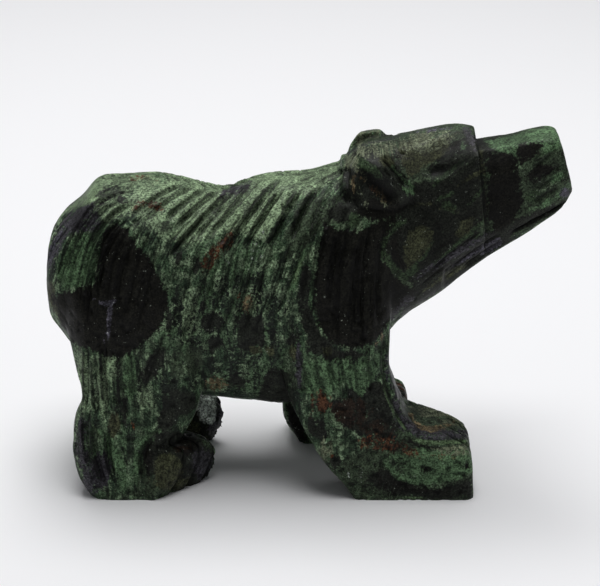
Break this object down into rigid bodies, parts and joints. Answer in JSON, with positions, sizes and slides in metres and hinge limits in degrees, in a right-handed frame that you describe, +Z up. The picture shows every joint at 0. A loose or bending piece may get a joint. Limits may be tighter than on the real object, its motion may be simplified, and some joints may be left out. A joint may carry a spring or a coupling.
{
  "type": "jasper bear carving",
  "caption": "Small walking bear with raised head, carved from one piece of green and black jasper, with fur cut in grooves, that stands on flat soles as an ornament.",
  "frame": {"origin": "middle of the length and width of the carving, on the plane that its soles stand on", "axes": "+X from rump to nose, along the bear's length; +Y to the bear's left; +Z up from the soles"},
  "size_m": [0.0764, 0.0294, 0.0527],
  "materials": {
    "jasper": "hand-rubbed to a low sheen, mottled green and black"
  },
  "bodies": {
    "root": {"bear": "jasper"}
  },
  "joints": []
}
